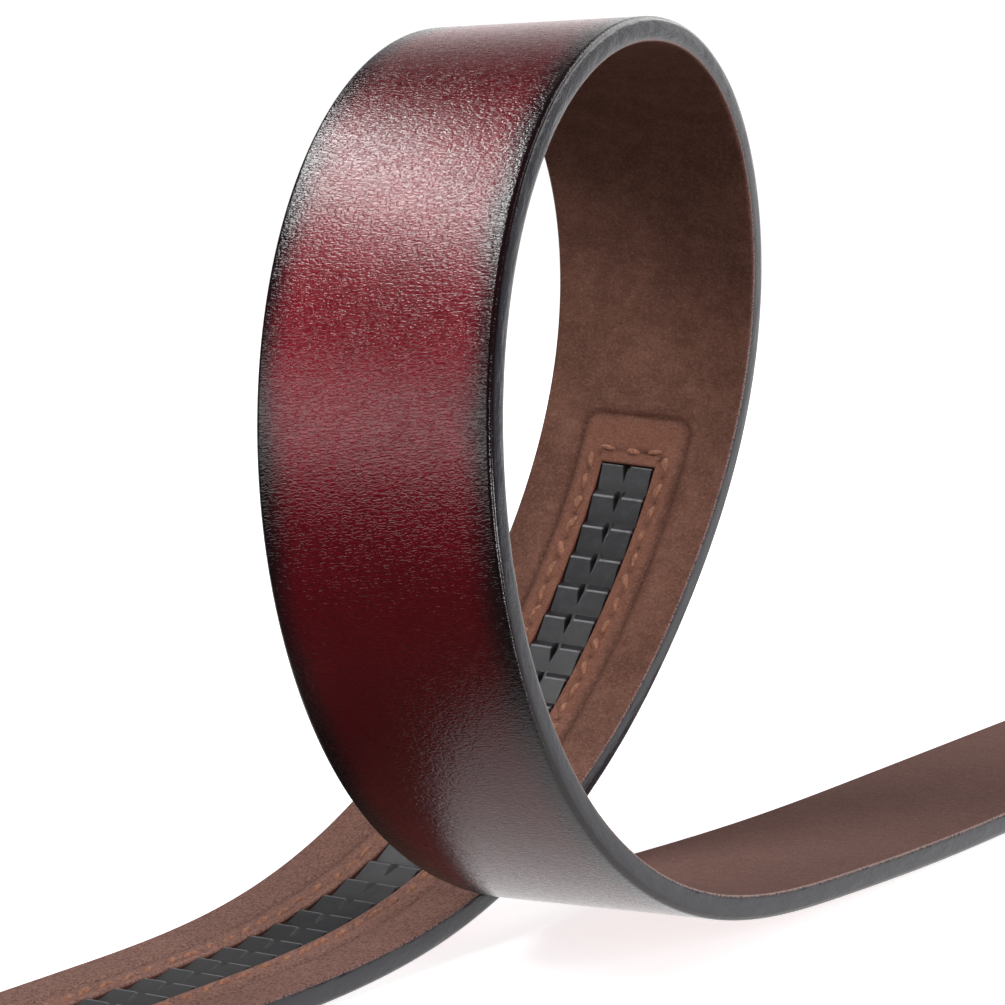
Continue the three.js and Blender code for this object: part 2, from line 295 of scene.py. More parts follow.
class Value:
    """An output of a node. Maths on values adds Math nodes."""

    def __init__(self, nodes, socket):
        self.nodes, self.socket = nodes, socket

    def math(self, operation, *values):
        return self.nodes.add("ShaderNodeMath", {"operation": operation}, dict(enumerate(values)))

    def __add__(self, other):
        return self.math("ADD", self, other)

    def __sub__(self, other):
        return self.math("SUBTRACT", self, other)

    def __rsub__(self, other):
        return self.math("SUBTRACT", other, self)

    def __mul__(self, other):
        return self.math("MULTIPLY", self, other)

    def __truediv__(self, other):
        return self.math("DIVIDE", self, other)

    def __pow__(self, other):
        return self.math("POWER", self, other)

    def __abs__(self):
        return self.math("ABSOLUTE", self)

    __radd__ = __add__
    __rmul__ = __mul__

    def sine(self):
        return self.math("SINE", self)

    def fraction(self):
        return self.math("FRACT", self)

    def between(self, low, high, start=0.0, end=1.0):
        """Goes smoothly from start to end as the value goes from low to high."""
        settings = {"interpolation_type": "SMOOTHSTEP", "clamp": True}
        return self.nodes.add("ShaderNodeMapRange", settings, {0: self, 1: low, 2: high, 3: start, 4: end})


class Nodes:
    """The nodes of a material or of the world. add() makes one."""

    def __init__(self, tree):
        self.tree = tree
        tree.nodes.clear()

    def add(self, kind, settings, sockets, output=0):
        """Makes a node: its type, its settings, and each socket's value or link, by name or number."""
        node = self.tree.nodes.new(kind)
        for name, value in settings.items():
            setattr(node, name, value)
        for key, value in sockets.items():
            if isinstance(value, Value):
                self.tree.links.new(value.socket, node.inputs[key])
            elif hasattr(value, "__len__") and len(value) == 3 and node.inputs[key].type == "RGBA":
                node.inputs[key].default_value = (*value, 1)
            else:
                node.inputs[key].default_value = value
        return Value(self, node.outputs[output]) if node.outputs else node

    def place(self):
        """Where a point is on the flat strap, in millimetres."""
        return self.add("ShaderNodeAttribute", {"attribute_name": "strap_place"}, {}, "Vector")

    def object_place(self):
        """Where a point is on the object, in millimetres."""
        return self.stretch(self.add("ShaderNodeTexCoord", {}, {}, "Object"), (1 / MM,) * 3)

    def parts(self, vector):
        """The three parts of a vector."""
        node = self.add("ShaderNodeSeparateXYZ", {}, {0: vector}).socket.node
        return [Value(self, socket) for socket in node.outputs]

    def attribute(self, name):
        """A number that the piece's corners carry."""
        return self.add("ShaderNodeAttribute", {"attribute_name": name}, {}, "Fac")

    def stretch(self, vector, sizes):
        return self.add("ShaderNodeVectorMath", {"operation": "MULTIPLY"}, {0: vector, 1: sizes})

    def noise(self, vector, scale, detail=2.0, roughness=0.5, distortion=0.0):
        sockets = {"Vector": vector, "Scale": scale, "Detail": detail, "Roughness": roughness,
                   "Distortion": distortion}
        return self.add("ShaderNodeTexNoise", {}, sockets)

    def waved(self, vector, scale, reach):
        """A vector pushed about by waves that reach so far."""
        sockets = {"Vector": vector, "Scale": scale, "Detail": 1.0}
        waves = self.add("ShaderNodeTexNoise", {}, sockets, "Color")
        waves = self.add("ShaderNodeVectorMath", {"operation": "SUBTRACT"}, {0: waves, 1: (0.5,) * 3})
        push = self.stretch(waves, (reach,) * 3)
        return self.add("ShaderNodeVectorMath", {"operation": "ADD"}, {0: vector, 1: push})

    def cells(self, vector, scale, feature="SMOOTH_F1"):
        """The distance from the middle of small round cells, or from their edges."""
        return self.add("ShaderNodeTexVoronoi", {"feature": feature}, {"Vector": vector, "Scale": scale})

    def mix(self, share, first, second):
        """A colour between two."""
        sockets = {0: share, 6: first, 7: second}
        return self.add("ShaderNodeMix", {"data_type": "RGBA", "clamp_factor": True}, sockets, 2)

    def bump(self, height, strength=1.0):
        """The surface tilted by a height in millimetres."""
        return self.add("ShaderNodeBump", {}, {"Height": height, "Strength": strength, "Distance": MM})


def finish_of(name, sockets_from):
    """A material whose surface has the sockets that sockets_from(nodes) returns."""
    material = bpy.data.materials.new(name)
    material.use_nodes = True
    nodes = Nodes(material.node_tree)
    surface = nodes.add("ShaderNodeBsdfPrincipled", {}, sockets_from(nodes))
    nodes.add("ShaderNodeOutputMaterial", {}, {"Surface": surface})
    return material


def grain_leather(settings):
    """Burgundy leather, burnished nearly black towards both edges, with a fine wrinkled grain, and painted
    shade in its creases and on two stretches of the loop.
    """
    def sockets(nodes):
        place = nodes.place()
        across, along, _ = nodes.parts(place)
        wavy = nodes.stretch(nodes.waved(place, scale=1.3, reach=0.55), (0.55, 1.9, 1.0))
        creases = nodes.cells(wavy, 1.4, "DISTANCE_TO_EDGE").between(0.2, 0.0)
        wrinkles = nodes.noise(nodes.stretch(place, (0.62, 2.8, 1.0)), 1.2, distortion=0.4)
        pebbles = nodes.cells(nodes.stretch(place, (0.85, 1.2, 1.0)), 2.8)
        fine = nodes.noise(place, 7.0, roughness=0.6)
        clouds = nodes.noise(place, 0.055, detail=3.0, roughness=0.6)
        grain_height = wrinkles * 0.06 - creases * 0.022 + pebbles * 0.021
        from_centre = abs(across) + (clouds - 0.5) * 3.5
        burnish = from_centre.between(11.0, 17.0) ** 1.3
        tone = nodes.mix(clouds.between(0.3, 0.7), settings.leather_colour, settings.leather_shade)
        # Painted shade: two stretches of the loop turn a deeper red
        for turns in PAINTED_SHADE_STRETCHES:
            start, full, fading, end = map(STRAP.run_at, turns)
            deep = along.between(start, full) * along.between(end, fading)
            tone = nodes.mix(deep * PAINTED_SHADE_SHARE, tone, settings.leather_painted_shade)
        # Painted shade: the grain's creases darkened with the burnish colour
        tone = nodes.mix(creases * 0.3, tone, settings.burnish_and_shade_colour)
        tone = nodes.mix(burnish, tone, settings.burnish_and_shade_colour)
        return {
            "Base Color": tone,
            "Roughness": 0.1 + fine * 0.12,
            "Normal": nodes.bump(grain_height, strength=0.7),
        }
    return finish_of("burnished_leather", sockets)


def suede(settings):
    """Brown suede: a mottled nap, coarser and rougher in the tip tail, with painted shade in the pressed
    line, the stitch holes and down the slot's red-brown walls.
    """
    def sockets(nodes):
        place = nodes.place()
        across, along, through = nodes.parts(place)
        coarse = along.between(110.0, 10.0)
        clouds = nodes.noise(place, 0.14, detail=4.0, roughness=0.65)
        blotches = nodes.noise(nodes.stretch(place, (0.6, 1.0, 1.0)), 0.55, detail=3.0, roughness=0.6)
        nap = nodes.noise(place, 2.6, detail=3.0, roughness=0.75, distortion=0.6)
        fibres = nodes.noise(nodes.stretch(place, (2.0, 0.7, 1.0)), 3.6, roughness=0.7, distortion=1.2)
        sewn = abs(across).between(9.4, 7.6) * along.between(TRACK_TOP + 9, TRACK_TOP + 7)
        tone = nodes.mix(clouds.between(0.3, 0.7), settings.suede_colour, settings.suede_shade)
        tone = nodes.mix(blotches.between(0.42, 0.68) * 0.5, tone, settings.suede_shade)
        tone = nodes.mix(sewn * 0.6, tone, settings.suede_warm)
        # Painted shade in the pressed line and down the stitch holes
        tone = nodes.mix(nodes.attribute("pressed") * 0.55, tone, settings.suede_dark_and_shade)
        tone = nodes.mix(along.between(330, 480) * 0.8, tone, settings.suede_cool)
        tone = nodes.mix(coarse * 0.46, tone, settings.suede_light)
        light_tips = nap.between(0.5, 0.66) * (0.22 + coarse * 0.55)
        tone = nodes.mix(light_tips, tone, settings.suede_light)
        dark_roots = nap.between(0.5, 0.34) * (0.3 + coarse * 0.4)
        tone = nodes.mix(dark_roots, tone, settings.suede_dark_and_shade)
        # Painted shade: a dark red-brown down the slot's walls
        down = through.between(STRAP_THICKNESS - 0.25, STRAP_THICKNESS - 0.6)
        slot_shade = down * abs(across).between(8.0, 7.0)
        tone = nodes.mix(slot_shade * 0.85, tone, settings.slot_shade_colour)
        nap_height = nap * (0.14 + coarse * 0.45) + fibres * 0.07 + blotches * 0.2
        return {
            "Base Color": tone,
            "Roughness": 0.94,
            "Specular IOR Level": 0.12,
            "Sheen Weight": 0.25,
            "Sheen Roughness": 0.5,
            "Sheen Tint": (*settings.suede_light, 1),
            "Normal": nodes.bump(nap_height, strength=0.9),
        }
    return finish_of("suede_nap", sockets)


def edge_paint(settings):
    """Dark grey paint on the strap's edges: glossy, a little uneven, with pale fibres by the suede, and
    darker towards the grain, partly painted shade.
    """
    def sockets(nodes):
        place = nodes.place()
        _, _, through = nodes.parts(place)
        waves = nodes.noise(nodes.stretch(place, (1.0, 0.25, 0.8)), 0.9, detail=3.0, roughness=0.55)
        specks = nodes.noise(place, 4.0, roughness=0.6)
        worn = through.between(STRAP_THICKNESS - 0.55, STRAP_THICKNESS - 0.3) * specks.between(0.35, 0.6)
        tone = nodes.mix(specks.between(0.4, 0.8) * 0.5, settings.paint_colour, settings.paint_shade)
        # Darker towards the grain leather: partly the burnished border's colour, partly painted shade in
        # the crease between the paint and the leather
        tone = nodes.mix(through.between(1.0, 0.6), tone, settings.burnish_and_shade_colour)
        tone = nodes.mix(worn * 0.8, tone, settings.suede_light)
        return {
            "Base Color": tone,
            "Roughness": 0.15 + specks * 0.12 + worn * 0.4,
            "Normal": nodes.bump(waves * 0.2 + specks * 0.02, strength=0.7),
        }
    return finish_of("painted_edge", sockets)


def thread(settings):
    """Brown thread with a fine twist."""
    def sockets(nodes):
        place = nodes.place()
        across, along, _ = nodes.parts(place)
        twist = (across * 5 + along * 4).sine() * 0.5 + 0.5
        fuzz = nodes.noise(place, 3.5, detail=3.0, roughness=0.7)
        tone = nodes.mix(fuzz.between(0.35, 0.65), settings.thread_colour, settings.suede_warm)
        return {
            "Base Color": nodes.mix(twist * 0.35, tone, settings.suede_shade),
            "Roughness": 0.8,
            "Specular IOR Level": 0.3,
            "Sheen Weight": 0.2,
            "Normal": nodes.bump(twist * 0.08 + fuzz * 0.1, strength=0.8),
        }
    return finish_of("sewing_thread", sockets)


def track_plastic(settings):
    """Satin black plastic with a faint moulded grain, a painted highlight along the teeth's lips, and
    painted shade at their feet and down in the notches.
    """
    def sockets(nodes):
        place = nodes.place()
        _, along, _ = nodes.parts(place)
        dust = nodes.noise(place, 0.8, detail=4.0, roughness=0.65)
        grain = nodes.noise(place, 9.0, roughness=0.6)
        from_low = ((along - TRACK_LOW) / TOOTH_PITCH).fraction() * TOOTH_PITCH
        from_lip = abs(from_low - (TOOTH_PITCH - TOOTH_BACK))
        tone = nodes.mix(dust.between(0.35, 0.75), settings.plastic_colour, settings.plastic_light)
        # Painted shade at the foot of each tooth's ramp
        tone = nodes.mix(from_low.between(1.8, 0.0) * 0.5, tone, settings.tooth_shade_colour)
        # Painted highlight along each tooth's lip
        brighter = from_lip.between(0.32, 0.1) * dust.between(0.2, 0.5)
        tone = nodes.mix(brighter, tone, settings.lip_highlight_colour)
        # Painted shade down in the notches
        tone = nodes.mix(nodes.attribute("notch").between(0.0, 0.35), tone, settings.tooth_shade_colour)
        return {
            "Base Color": tone,
            "Roughness": 0.3 + dust * 0.16,
            "Normal": nodes.bump(grain * 0.012 + dust * 0.03, strength=0.7),
        }
    return finish_of("moulded_plastic", sockets)


def buckle_metal(settings):
    """Dark brushed steel, brushed along the belt."""
    def sockets(nodes):
        place = nodes.object_place()
        brushing = nodes.noise(nodes.stretch(place, (9.0, 0.12, 9.0)), 1.0, detail=3.0, roughness=0.6)
        clouds = nodes.noise(place, 0.09, detail=3.0, roughness=0.6)
        return {
            "Base Color": nodes.mix(clouds.between(0.3, 0.7), settings.metal_colour, settings.metal_light),
            "Metallic": 1.0,
            "Roughness": 0.26 + brushing * 0.2,
            "Normal": nodes.bump(brushing * 0.02, strength=0.5),
        }
    return finish_of("brushed_steel", sockets)


def spaced(low, high, step, fine=()):
    """Places from low to high, about step apart, or closer in the fine stretches of (from, to, step)."""
    places = [low]
    for start, end, closer in [*fine, (high, high, step)]:
        for goal, size in ((start, step), (end, closer)):
            count = max(1, round((goal - places[-1]) / size)) if goal > places[-1] + 1e-6 else 0
            first = places[-1]
            places += [first + (goal - first) * (n + 1) / count for n in range(count)]
    return places


def strap_rows(step, fine=()):
    """The rows of the strap behind its round tip, from the tip towards the buckle."""
    return spaced(STRAP_TIP + TIP_RADIUS, STRAP_END, step, fine)


TIP_ANGLES = [math.radians(90 * n / TIP_STEPS) for n in range(TIP_STEPS)]
FIELD_HALF = STRAP_WIDTH / 2 - BORDER
TIP_HALF = STRAP_WIDTH / 2 - TIP_RADIUS


def outline_of(rows, columns):
    """The strap's outline as (x, y, inward x, inward y), from the cut end round the tip and back."""
    right = [(STRAP_WIDTH / 2, row, -1.0, 0.0) for row in rows]
    for angle in reversed(TIP_ANGLES):
        sin, cos = math.sin(angle), math.cos(angle)
        right.insert(0, (TIP_HALF + TIP_RADIUS * sin, STRAP_TIP + TIP_RADIUS * (1 - cos), -sin, cos))
    left = [(-x, y, -inward, up) for x, y, inward, up in reversed(right)]
    tip = [(column * TIP_HALF / FIELD_HALF, STRAP_TIP, 0.0, 1.0) for column in columns[1:-1]]
    return left + tip + right


def grid(bm, across, along, place):
    """A sheet of faces whose corner (i, j) lies at place(i, j), in millimetres."""
    made = bmesh.ops.create_grid(bm, x_segments=across, y_segments=along, size=0.5)["verts"]
    for vert in made:
        i, j = round((vert.co.x + 0.5) * across), round((vert.co.y + 0.5) * along)
        vert.co = Vector(place(i, j)) * MM


def border(bm, profile, outline):
    """A band round the strap's outline: profile holds places as (in from the edge, through the strap)."""
    def place(i, j):
        inset, through = profile[i]
        x, y, inward, up = outline[j]
        return x + inward * inset, y + up * inset, through
    grid(bm, len(profile) - 1, len(outline) - 1, place)


def field(bm, through, columns, rows):
    """The strap's flat middle, which meets its border all round."""
    tips = [(TIP_HALF + (TIP_RADIUS - BORDER) * math.sin(angle),
             STRAP_TIP + TIP_RADIUS - (TIP_RADIUS - BORDER) * math.cos(angle)) for angle in TIP_ANGLES]
    lines = tips + [(FIELD_HALF, row) for row in rows]

    def place(i, j):
        half, along = lines[j]
        return columns[i] * half / FIELD_HALF, along, through
    grid(bm, len(columns) - 1, len(lines) - 1, place)


def weld(bm):
    """Joins the sheets where they meet, closes the cut end and turns the faces outwards."""
    bmesh.ops.remove_doubles(bm, verts=bm.verts, dist=WELD_DISTANCE * MM)
    bmesh.ops.holes_fill(bm, edges=[edge for edge in bm.edges if edge.is_boundary], sides=0)
    bmesh.ops.recalc_face_normals(bm, faces=bm.faces)


def thicken(bm, bottom):
    """Makes a solid of a sheet, with its underside flat at a height in millimetres."""
    under = bmesh.ops.extrude_face_region(bm, geom=bm.faces[:], use_keep_orig=True)["geom"]
    for vert in under:
        if isinstance(vert, bmesh.types.BMVert):
            vert.co.z = bottom * MM
    bmesh.ops.recalc_face_normals(bm, faces=bm.faces)


def bevel(bm, edges, offset, segments):
    return bmesh.ops.bevel(bm, geom=edges, offset=offset * MM, offset_type="OFFSET", segments=segments,
                           profile=0.5, affect="EDGES", material=-1, clamp_overlap=True)


def bend(bm):
    """Notes every corner's place on the flat strap, in millimetres, and moves it to the bent one."""
    layer = bm.verts.layers.float_vector.new("strap_place")
    verts = list(bm.verts)
    for vert in verts:
        vert[layer] = vert.co / MM
    for vert, spot in zip(verts, STRAP.place([vert.co for vert in verts])):
        vert.co = spot


def finished(bm, name, material, node=None, sharp=None):
    """The piece as an object that rides on the belt, in place of its plain node."""
    mesh = bpy.data.meshes.new(name)
    bm.to_mesh(mesh)
    bm.free()
    mesh.polygons.foreach_set("use_smooth", [True] * len(mesh.polygons))
    if sharp:
        mesh.set_sharp_from_angle(angle=math.radians(sharp))
    mesh.materials.append(material)
    piece = bpy.data.objects.new(name, mesh)
    bpy.context.scene.collection.objects.link(piece)
    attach(piece, BODY)
    if node:
        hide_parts(node)
    return piece


def weighted(piece):
    """Lets a piece's large faces stay flat beside its rounded edges."""
    modifier = piece.modifiers.new("flat_faces", "WEIGHTED_NORMAL")
    modifier.keep_sharp = True


def quarter(inset, through, inward, down, steps):
    """A rounded corner of a profile: a quarter of an ellipse from its flat side to its upright side."""
    places = []
    for n in range(steps + 1):
        angle = math.pi / 2 * n / steps
        places.append((inset + inward * (1 - math.sin(angle)), through + down * (1 - math.cos(angle))))
    return places


def groove_distance(x, y):
    """How far a place is from the line pressed round the sewing."""
    middle = (SLOT_LOW + SLOT_TOP) / 2
    half = (SLOT_TOP - SLOT_LOW) / 2 + GROOVE_ROW_END
    right = abs(x) - (GROOVE_ROW - GROOVE_CORNER)
    up = abs(y - middle) - (half - GROOVE_CORNER)
    outside = math.hypot(max(right, 0), max(up, 0)) + min(max(right, up), 0)
    return abs(outside - GROOVE_CORNER)


def stitch_places(spacing):
    """The middles of the stitches as (x, y, heading), in order round the track."""
    low, top = SLOT_LOW - STITCH_ROW_END, SLOT_TOP + STITCH_ROW_END
    corners = [(-STITCH_ROW, low), (-STITCH_ROW, top), (STITCH_ROW, top), (STITCH_ROW, low)]
    draw = random.Random(SEED)
    places = []
    for (x0, y0), (x1, y1) in zip(corners, corners[1:] + corners[:1]):
        length = math.hypot(x1 - x0, y1 - y0)
        count = round(length / spacing)
        heading = math.atan2(x0 - x1, y1 - y0)
        for n in range(count):
            share = (n + 0.5 + draw.uniform(-STITCH_DRIFT, STITCH_DRIFT)) / count
            aside = draw.gauss(0, STITCH_ASIDE)
            x = x0 + (x1 - x0) * share + aside * math.cos(heading)
            y = y0 + (y1 - y0) * share + aside * math.sin(heading)
            places.append((x, y, heading + draw.gauss(0, STITCH_TURN)))
    return places


class BeltSettings(bpy.types.PropertyGroup):
    """The belt's colours and the sizes of its sewing."""

    def tint(name, description, *levels):
        return FloatVectorProperty(name=name, description=description, default=srgb(*levels), size=3,
                                   min=0.0, max=1.0, subtype="COLOR")

    leather_colour: tint("Leather", "The burgundy of the grain leather", 162, 18, 42)
    leather_shade: tint("Leather, deeper", "The deeper burgundy of its clouding", 142, 13, 32)
    # Painted shade: the deepest red, laid on two stretches of the loop
    leather_painted_shade: tint("Leather, deepest", "The deep red where the polish is heaviest", 96, 8, 16)
    # The burnish colour also paints shade in the grain's creases and in the crease beside the painted edges
    burnish_and_shade_colour: tint("Burnish", "The burnished leather at both edges", 30, 13, 18)
    paint_colour: tint("Edge paint", "The paint on the strap's edges", 46, 44, 54)
    paint_shade: tint("Edge paint, darker", "The darker specks of that paint", 28, 26, 33)
    suede_colour: tint("Suede", "The brown of the suede lining", 146, 102, 86)
    suede_shade: tint("Suede, deeper", "The deeper brown of its clouding", 116, 79, 66)
    suede_warm: tint("Suede by the track", "The warmer brown round the track", 160, 108, 88)
    suede_cool: tint("Suede by the buckle", "The duller brown towards the buckle", 122, 93, 88)
    suede_light: tint("Raised nap", "The light tips of the nap", 206, 162, 150)
    # This colour is also painted shade in the pressed line and the stitch holes
    suede_dark_and_shade: tint("Pressed nap", "The dark roots of the nap", 66, 38, 32)
    # Painted shade down the slot's walls
    slot_shade_colour: tint("Slot", "The red-brown walls of the track's slot", 74, 26, 22)
    thread_colour: tint("Thread", "The sewing thread", 206, 146, 114)
    plastic_colour: tint("Track", "The plastic of the track", 34, 34, 38)
    plastic_light: tint("Track, rubbed", "The same plastic where it is rubbed", 48, 48, 52)
    # Painted highlight: the paler plastic along the teeth's lips
    lip_highlight_colour: tint("Track, lips", "The paler plastic along the teeth's rubbed lips", 118, 118, 122)
    # Painted shade at the teeth's feet and down in the notches
    tooth_shade_colour: tint("Track, notches", "The dark plastic down in the notches", 12, 12, 13)
    metal_colour: tint("Buckle", "The steel of the buckle", 92, 93, 98)
    metal_light: tint("Buckle, lighter", "The lighter clouding of that steel", 112, 113, 118)
    stitch_spacing: FloatProperty(name="Stitch spacing", description="From one stitch to the next",
                                  default=4.2 * MM, min=2 * MM, max=8 * MM, unit="LENGTH", precision=4)
    stitch_length: FloatProperty(name="Stitch length", description="The thread that shows in a stitch",
                                 default=3.1 * MM, min=1 * MM, max=6 * MM, unit="LENGTH", precision=4)


class StageSettings(bpy.types.PropertyGroup):
    """The floor and the light that the belt is seen in."""

    floor_size: FloatProperty(name="Floor", description="The floor's radius", default=4.0, min=1.0,
                              max=20.0, unit="LENGTH")
    backdrop: FloatProperty(name="Backdrop", description="How bright the pale backdrop is", default=1.0,
                            min=0.0, max=4.0)
    light: FloatProperty(name="Light", description="How strong the soft lights are", default=1.0, min=0.0,
                         max=4.0)


class BELT_OT_outer_leather(bpy.types.Operator):
    """Make the grain leather: one strap with softly rolled edges and a round tip"""

    bl_idname = "belt.outer_leather"
    bl_label = "Outer Leather"

    def execute(self, context):
        rows = strap_rows(ROW_STEP)
        columns = list(np.linspace(-FIELD_HALF, FIELD_HALF, LEATHER_COLUMNS))
        rolled = quarter(LEATHER_INSET, 0, inward=0.6, down=0.5, steps=6)
        profile = [(BORDER, 0), (4.0, 0), (2.2, 0), (1.2, 0), *rolled,
                   (LEATHER_INSET, GRAIN_THICKNESS), (BORDER, GRAIN_THICKNESS)]
        bm = bmesh.new()
        border(bm, profile, outline_of(rows, columns))
        field(bm, 0, columns, rows)
        field(bm, GRAIN_THICKNESS, columns, rows)
        weld(bm)
        bend(bm)
        material = grain_leather(context.scene.belt)
        finished(bm, "burnished_strap", material, "outer_leather", sharp=50)
        return {"FINISHED"}


class BELT_OT_edge_paint(bpy.types.Operator):
    """Make the painted edges: one domed band round the strap's long edges and its tip"""

    bl_idname = "belt.edge_paint"
    bl_label = "Painted Edges"

    def execute(self, context):
        rows = strap_rows(ROW_STEP)
        middle, half = (PAINT_LOW + PAINT_HIGH) / 2, (PAINT_HIGH - PAINT_LOW) / 2
        dome = []
        for n in range(DOME_STEPS + 1):
            angle = math.pi * (n / DOME_STEPS - 0.5)
            bulge = math.cos(angle) ** DOME_FULLNESS
            dome.append((PAINT_INSET * (1 - bulge), middle + half * math.sin(angle)))
        bm = bmesh.new()
        border(bm, [*dome, dome[0]], outline_of(rows, [-FIELD_HALF, 0, FIELD_HALF]))
        weld(bm)
        bend(bm)
        finished(bm, "edge_paint", edge_paint(context.scene.belt), sharp=60)
        return {"FINISHED"}


class BELT_OT_suede_lining(bpy.types.Operator):
    """Make the suede lining with the track's slot, the pressed line and the holes of the sewing"""

    bl_idname = "belt.suede_lining"
    bl_label = "Suede Lining"

    def execute(self, context):
        settings = context.scene.belt
        # Finer rows where the sewing and the pressed line run across, from sewn to plain away from the slot
        sewn, plain = GROOVE_ROW_END + 0.9, 2.0
        fine = [(SLOT_LOW - sewn, SLOT_LOW - plain, 0.4), (SLOT_LOW - plain, SLOT_LOW, 0.5),
                (SLOT_LOW, SLOT_TOP, 0.75),
                (SLOT_TOP, SLOT_TOP + plain, 0.5), (SLOT_TOP + plain, SLOT_TOP + sewn, 0.4)]
        rows = strap_rows(SUEDE_STEP, fine)
        side = spaced(SLOT_HALF, FIELD_HALF, 0.6, [(6.0, GROOVE_ROW + 0.7, 0.36)])
        columns = [-place for place in reversed(side)] + [-2.4, 0.0, 2.4] + side
        rolled = quarter(LEATHER_INSET, STRAP_THICKNESS, inward=0.5, down=-0.35, steps=3)
        profile = [(BORDER, STRAP_THICKNESS), (3.6, STRAP_THICKNESS), (1.8, STRAP_THICKNESS), *rolled]
        bm = bmesh.new()
        border(bm, profile, outline_of(rows, columns))
        field(bm, STRAP_THICKNESS, columns, rows)
        bmesh.ops.remove_doubles(bm, verts=bm.verts, dist=WELD_DISTANCE * MM)
        inside = []
        for face in bm.faces:
            spot = face.calc_center_median() / MM
            if abs(spot.x) < SLOT_HALF and SLOT_LOW < spot.y < SLOT_TOP:
                inside.append(face)
        bmesh.ops.delete(bm, geom=inside, context="FACES")
        thicken(bm, LINING_BOTTOM)
        rim = []
        for edge in bm.edges:
            ends = [vert.co / MM for vert in edge.verts]
            on_top = all(abs(end.z - STRAP_THICKNESS) < CLOSE for end in ends)
            walls = [face for face in edge.link_faces if abs(face.normal.z) < 0.1]
            if on_top and len(walls) == 1 and all(abs(end.x) < SLOT_HALF + 0.1 for end in ends):
                rim.append(edge)
        bevel(bm, rim, SLOT_ROUND, 3)
        self.press(bm, stitch_places(settings.stitch_spacing / MM))
        bend(bm)
        finished(bm, "suede_inside", suede(settings), "suede_lining", sharp=50)
        return {"FINISHED"}

    def press(self, bm, stitches):
        """Presses the line, and the holes between the stitches, into the suede."""
        holes = {}
        for (x, y, _), (next_x, next_y, _) in zip(stitches, stitches[1:] + stitches[:1]):
            hole = ((x + next_x) / 2, (y + next_y) / 2)
            holes.setdefault(round(hole[1]), []).append(hole)
        reach = HOLE_RADIUS * 2.5
        rows_round = math.ceil(reach)
        pressed = bm.verts.layers.float.new("pressed")
        for vert in bm.verts:
            x, y, z = vert.co / MM
            if z < STRAP_THICKNESS - 0.2 or abs(x) > GROOVE_ROW + 2:
                continue
            away = groove_distance(x, y)
            depth = GROOVE_DEPTH * math.exp(-(away / GROOVE_RADIUS) ** 2) if away < 3 * GROOVE_RADIUS else 0
            for row in range(round(y) - rows_round, round(y) + rows_round + 1):
                for hole_x, hole_y in holes.get(row, ()):
                    apart = math.hypot(x - hole_x, y - hole_y)
                    if apart < reach:
                        depth += HOLE_DEPTH * math.exp(-(apart / HOLE_RADIUS) ** 2)
            vert.co.z -= depth * MM
            # How deep the suede is pressed here, which its colour darkens as painted shade
            vert[pressed] = min(depth / HOLE_DEPTH, 1)


class BELT_OT_stitches(bpy.types.Operator):
    """Sew the row of stitches round the track"""

    bl_idname = "belt.stitches"
    bl_label = "Stitches"

    def execute(self, context):
        settings = context.scene.belt
        draw = random.Random(SEED + 1)
        bm = bmesh.new()
        for x, y, heading in stitch_places(settings.stitch_spacing / MM):
            made = bmesh.ops.create_uvsphere(bm, u_segments=6, v_segments=6, radius=1)["verts"]
            length = settings.stitch_length / MM * draw.uniform(0.75, 1.15)
            thickness = STITCH_THICKNESS * draw.uniform(0.75, 1.2)
            turned = Matrix.Rotation(heading, 3, "Z")
            for vert in made:
                aside, up, run = vert.co
                thread_place = Vector((aside * thickness / 2, run * length / 2,
                                       up * thickness * STITCH_FLATNESS - run ** 2 * STITCH_BOW))
                vert.co = (turned @ thread_place + Vector((x, y, STRAP_THICKNESS + 0.02))) * MM
        bmesh.ops.recalc_face_normals(bm, faces=bm.faces)
        bend(bm)
        finished(bm, "stitches", thread(settings))
        return {"FINISHED"}


